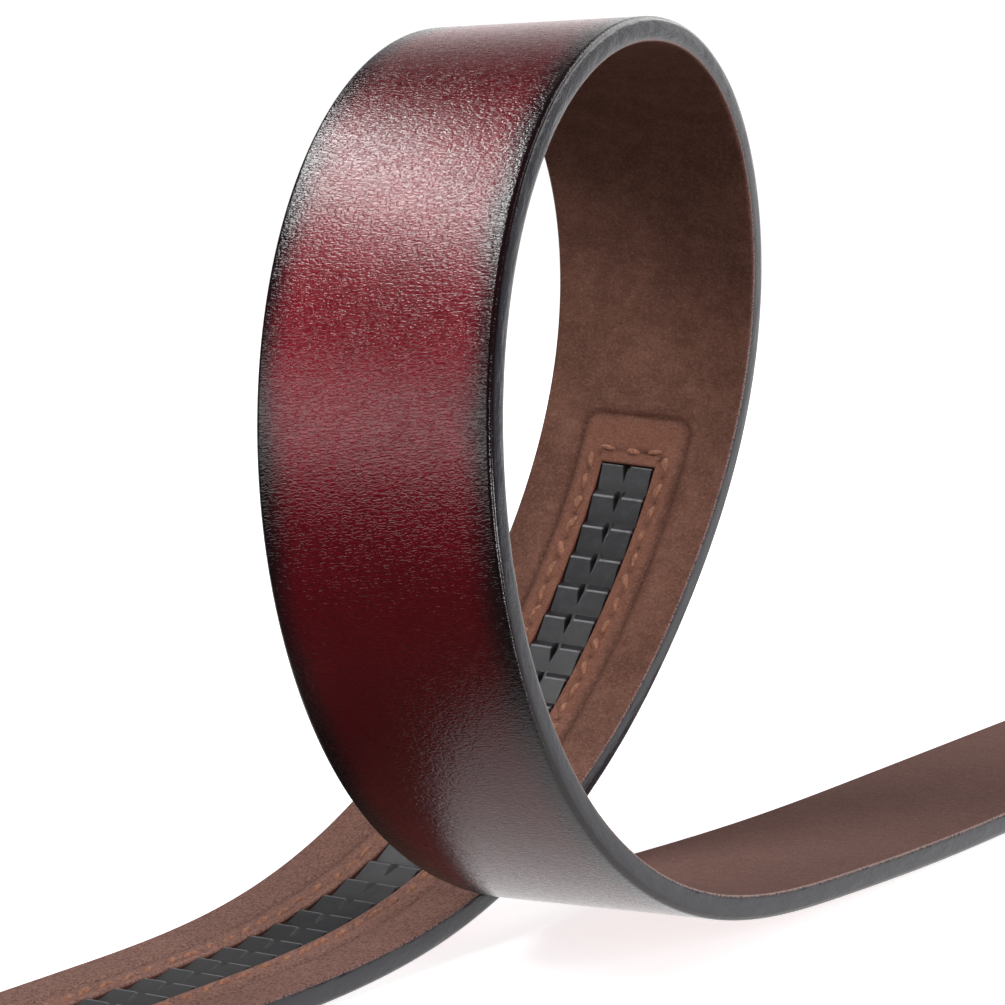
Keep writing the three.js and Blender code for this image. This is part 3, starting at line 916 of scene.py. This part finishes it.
class BELT_OT_ratchet_track(bpy.types.Operator):
    """Make the toothed track: each tooth rises to a lip split by a notch, and slopes down behind it"""

    bl_idname = "belt.ratchet_track"
    bl_label = "Ratchet Track"

    def execute(self, context):
        floor = LINING_BOTTOM + TRACK_BASE
        rise = TOOTH_PITCH - TOOTH_BACK
        point = rise - NOTCH_LENGTH
        # The rows of corners across a tooth, from its foot to its lip: how far along, the notch's width
        # there and its depth
        rows = ((0, NOTCH_WIDTH, 0), (0.05, NOTCH_TIP, 0), (point - 0.1, NOTCH_TIP, 0),
                (point, NOTCH_TIP, 0), (rise, NOTCH_WIDTH, NOTCH_DEPTH))
        lines = []
        for tooth in range(TOOTH_COUNT):
            for run, notch, depth in rows:
                top = floor + TOOTH_LOW + (TOOTH_HIGH - TOOTH_LOW) * run / rise
                lines.append((TRACK_LOW + tooth * TOOTH_PITCH + run, notch / 2, top, depth))
        lips = [along for along, _, _, depth in lines if depth > 0]

        def place(i, j):
            along, notch, top, depth = lines[j]
            column = i - 2.5
            across = {0.5: notch * NOTCH_FLOOR, 1.5: notch, 2.5: TOOTH_WIDTH / 2}[abs(column)]
            return math.copysign(across, column), along, top - (depth if abs(column) < 1 else 0)

        def at_lip(spot):
            return any(abs(spot.y - lip) < CLOSE for lip in lips)

        bm = bmesh.new()
        grid(bm, 5, len(lines) - 1, place)
        # Marks the notches' floors by the lips, where the plastic's colour paints shade
        notch_layer = bm.verts.layers.float.new("notch")
        for vert in bm.verts:
            spot = vert.co / MM
            vert[notch_layer] = float(abs(spot.x) < NOTCH_WIDTH * 0.4 and at_lip(spot))
        crests = []
        for edge in bm.edges:
            first, second = (vert.co / MM for vert in edge.verts)
            across = abs(first.y - second.y) < CLOSE
            outer = abs(first.x + second.x) / 2 > NOTCH_WIDTH / 2
            if across and outer and at_lip(first):
                crests.append(tuple(edge.verts))
        thicken(bm, LINING_BOTTOM)
        rounded = [bm.edges.get(ends) for ends in crests]
        for edge in bm.edges:
            first, second = (vert.co / MM for vert in edge.verts)
            at_side = abs(abs(first.x) - TOOTH_WIDTH / 2) < CLOSE and abs(first.x - second.x) < CLOSE
            if at_side and min(first.z, second.z) > LINING_BOTTOM + 0.1:
                rounded.append(edge)
        bevel(bm, rounded, LIP_ROUND, 2)
        bend(bm)
        material = track_plastic(context.scene.belt)
        piece = finished(bm, "toothed_track", material, "ratchet_track", sharp=32)
        weighted(piece)
        return {"FINISHED"}


class BELT_OT_buckle(bpy.types.Operator):
    """Make the plain buckle at the cut end: a face plate, two walls, a clamp and the catch's housing"""

    bl_idname = "belt.buckle"
    bl_label = "Buckle"

    def execute(self, context):
        low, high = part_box("buckle")
        centre = (low.x + high.x) / 2 / MM
        start = low.y / MM
        inner = STRAP_WIDTH / 2 + SIDE_CLEARANCE
        outer = inner + WALL_THICKNESS
        channel_top = PLATE_THICKNESS + TIP_CHANNEL
        lid_bottom = BUCKLE_RISE + STRAP_THICKNESS + PIECE_GAP
        wall_top = lid_bottom + CLAMP_LID
        clamp_from, clamp_to = start + PLATE_RIM, start + PLATE_RIM + CLAMP_DEPTH
        wall_to = start + BUCKLE_LENGTH - PLATE_RIM
        within = inner - METAL_SEAM
        on_plate = PLATE_THICKNESS + METAL_SEAM
        # Each block: the axis its corners are rounded about, their radius, its edges' radius, two corners
        blocks = (
            ("Z", PLATE_CORNER, PLATE_EDGE, (-outer, start, 0),
             (outer, start + BUCKLE_LENGTH, PLATE_THICKNESS)),
            ("X", WALL_CORNER, METAL_EDGE, (inner, clamp_from, on_plate), (outer, wall_to, wall_top)),
            ("X", WALL_CORNER, METAL_EDGE, (-outer, clamp_from, on_plate), (-inner, wall_to, wall_top)),
            ("X", CLAMP_BAR / 3, CLAMP_BAR / 5, (-within, clamp_from, channel_top),
             (within, clamp_to, channel_top + CLAMP_BAR)),
            ("X", CLAMP_LID / 3, METAL_EDGE, (-within, clamp_from, lid_bottom),
             (within, clamp_to, wall_top)),
            ("X", WALL_CORNER, METAL_EDGE, (-within, wall_to - HOUSING_LENGTH, channel_top),
             (within, wall_to, wall_top)),
        )
        whole = bmesh.new()
        for axis, corner, edge, lowest, highest in blocks:
            part = self.block(axis, corner, edge, Vector(lowest), Vector(highest))
            scratch = bpy.data.meshes.new("block")
            part.to_mesh(scratch)
            part.free()
            whole.from_mesh(scratch)
            bpy.data.meshes.remove(scratch)
        bmesh.ops.translate(whole, verts=whole.verts, vec=Vector((centre * MM, 0, 0)))
        material = buckle_metal(context.scene.belt)
        piece = finished(whole, "plain_buckle", material, "buckle", sharp=32)
        weighted(piece)
        return {"FINISHED"}

    def block(self, axis, corner, edge, lowest, highest):
        """A box with its corners rounded about one axis, and then all its edges softened."""
        bm = bmesh.new()
        size = (highest - lowest) * MM
        shape = Matrix.Translation((highest + lowest) * MM / 2) @ Matrix.Diagonal((*size, 1))
        bmesh.ops.create_cube(bm, size=1, matrix=shape)
        direction = {"X": Vector((1, 0, 0)), "Z": Vector((0, 0, 1))}[axis]
        corners = [e for e in bm.edges
                   if abs((e.verts[0].co - e.verts[1].co).normalized().dot(direction)) > 0.99]
        bevel(bm, corners, corner, 6)
        bmesh.ops.recalc_face_normals(bm, faces=bm.faces)
        rims = [e for e in bm.edges if e.calc_face_angle(0) > math.radians(60)]
        bevel(bm, rims, edge, 3)
        return bm


class BELT_OT_stage(bpy.types.Operator):
    """Set the pale floor, the soft lights, the backdrop and the camera"""

    bl_idname = "belt.stage"
    bl_label = "Stage"

    def execute(self, context):
        stage = context.scene.belt_stage
        self.floor(stage)
        self.backdrop(context.scene, stage)
        for name, place, aim, size, power, seen_in in SOFT_LIGHTS:
            self.soft_light(name, Vector(place), Vector(aim), size, power * stage.light, seen_in)
        self.camera(context.scene)
        return {"FINISHED"}

    def floor(self, stage):
        bm = bmesh.new()
        bmesh.ops.create_circle(bm, cap_ends=True, segments=96, radius=stage.floor_size)
        bmesh.ops.translate(bm, verts=bm.verts, vec=Vector((0, 0, -0.1 * MM)))
        mesh = bpy.data.meshes.new("floor")
        bm.to_mesh(mesh)
        bm.free()
        material = bpy.data.materials.new("pale_floor")
        material.use_nodes = True
        nodes = Nodes(material.node_tree)
        seen = nodes.add("ShaderNodeLightPath", {}, {}, "Is Camera Ray")
        pale = nodes.add("ShaderNodeBsdfDiffuse", {}, {"Color": (0.93, 0.93, 0.93)})
        dim = nodes.add("ShaderNodeBsdfDiffuse", {}, {"Color": (0.1, 0.1, 0.1)})
        aside, ahead, _ = nodes.parts(nodes.object_place())
        away = (aside * aside + ahead * ahead) ** 0.5
        glow = nodes.add("ShaderNodeEmission", {}, {"Strength": away.between(200, 900, 0.78, 1.0)})
        lit = nodes.add("ShaderNodeAddShader", {}, {0: pale, 1: glow})
        mirrored = nodes.add("ShaderNodeLightPath", {}, {}, "Is Glossy Ray")
        foot_sheen = ahead.between(-183, -117) * (0.03 + mirrored * 1.1)
        bounce = nodes.add("ShaderNodeEmission", {}, {"Strength": foot_sheen})
        dark = nodes.add("ShaderNodeAddShader", {}, {0: dim, 1: bounce})
        surface = nodes.add("ShaderNodeMixShader", {}, {0: seen, 1: dark, 2: lit})
        nodes.add("ShaderNodeOutputMaterial", {}, {"Surface": surface})
        mesh.materials.append(material)
        floor = bpy.data.objects.new("floor", mesh)
        bpy.context.scene.collection.objects.link(floor)

    def backdrop(self, scene, stage):
        """A white backdrop. Reflections show it bright at the back and the left, and dark elsewhere."""
        world = bpy.data.worlds.new("studio")
        world.use_nodes = True
        scene.world = world
        nodes = Nodes(world.node_tree)
        direction = nodes.add("ShaderNodeTexCoord", {}, {}, "Generated")
        aside, ahead, up = nodes.parts(direction)
        sweep = ahead.between(0.2, 0.85) * up.between(0.75, 0.1)
        mirrored = nodes.add("ShaderNodeLightPath", {}, {}, "Is Glossy Ray")
        left = aside.between(0.4, -0.1)
        room = 0.04 + sweep * (0.35 + mirrored * (left * 1.15 - 0.2))
        seen = nodes.add("ShaderNodeLightPath", {}, {}, "Is Camera Ray")
        strength = (room + seen * (1.05 - room)) * stage.backdrop
        light = nodes.add("ShaderNodeBackground", {}, {"Color": (1.0, 1.0, 1.0), "Strength": strength})
        nodes.add("ShaderNodeOutputWorld", {}, {"Surface": light})
        scene.view_settings.view_transform = "Standard"

    def soft_light(self, name, place, aim, size, power, seen_in):
        light = bpy.data.lights.new(name, "AREA")
        light.shape = "RECTANGLE"
        light.size, light.size_y = size
        light.energy = power
        lamp = bpy.data.objects.new(name, light)
        lamp.location = place
        lamp.visible_diffuse = seen_in != "glossy"
        lamp.visible_glossy = seen_in != "diffuse"
        lamp.rotation_euler = (place - aim).to_track_quat("Z", "Y").to_euler()
        bpy.context.scene.collection.objects.link(lamp)

    def camera(self, scene):
        azimuth, elevation, roll = map(math.radians, (CAMERA_AZIMUTH, CAMERA_ELEVATION, CAMERA_ROLL))
        back = Vector((math.sin(azimuth) * math.cos(elevation), -math.cos(azimuth) * math.cos(elevation),
                       math.sin(elevation)))
        right = Vector((math.cos(azimuth), math.sin(azimuth), 0))
        up = back.cross(right)
        turned_right = math.cos(roll) * right + math.sin(roll) * up
        turned_up = math.cos(roll) * up - math.sin(roll) * right
        lens = bpy.data.cameras.new("camera")
        lens.lens = CAMERA_LENS
        lens.sensor_fit = "HORIZONTAL"
        lens.sensor_width = CAMERA_SENSOR
        lens.clip_start = 0.01
        camera = bpy.data.objects.new("camera", lens)
        turned = Matrix((turned_right, turned_up, back)).transposed().to_4x4()
        camera.matrix_world = Matrix.Translation(Vector(CAMERA_PLACE) + Vector(STRAP.shift)) @ turned
        scene.collection.objects.link(camera)
        scene.camera = camera


class BELT_PT_panel(bpy.types.Panel):
    """The belt's settings and the steps that make it"""

    bl_idname = "BELT_PT_panel"
    bl_label = "Ratchet Belt"
    bl_space_type = "VIEW_3D"
    bl_region_type = "UI"
    bl_category = "Belt"

    def draw(self, context):
        for group in (context.scene.belt, context.scene.belt_stage):
            for name in group.bl_rna.properties.keys():
                if name not in {"rna_type", "name"}:
                    self.layout.prop(group, name)
        for step in STEPS:
            self.layout.operator(step.bl_idname)


STEPS = (BELT_OT_outer_leather, BELT_OT_edge_paint, BELT_OT_suede_lining, BELT_OT_stitches,
         BELT_OT_ratchet_track, BELT_OT_buckle, BELT_OT_stage)
CLASSES = (BeltSettings, StageSettings, *STEPS, BELT_PT_panel)


def register():
    for cls in CLASSES:
        bpy.utils.register_class(cls)
    bpy.types.Scene.belt = PointerProperty(type=BeltSettings)
    bpy.types.Scene.belt_stage = PointerProperty(type=StageSettings)


def unregister():
    del bpy.types.Scene.belt_stage
    del bpy.types.Scene.belt
    for cls in reversed(CLASSES):
        bpy.utils.unregister_class(cls)


def main():
    register()
    bpy.ops.belt.outer_leather()
    bpy.ops.belt.edge_paint()
    bpy.ops.belt.suede_lining()
    bpy.ops.belt.stitches()
    bpy.ops.belt.ratchet_track()
    bpy.ops.belt.buckle()
    bpy.ops.belt.stage()


if __name__ == "__main__":
    main()
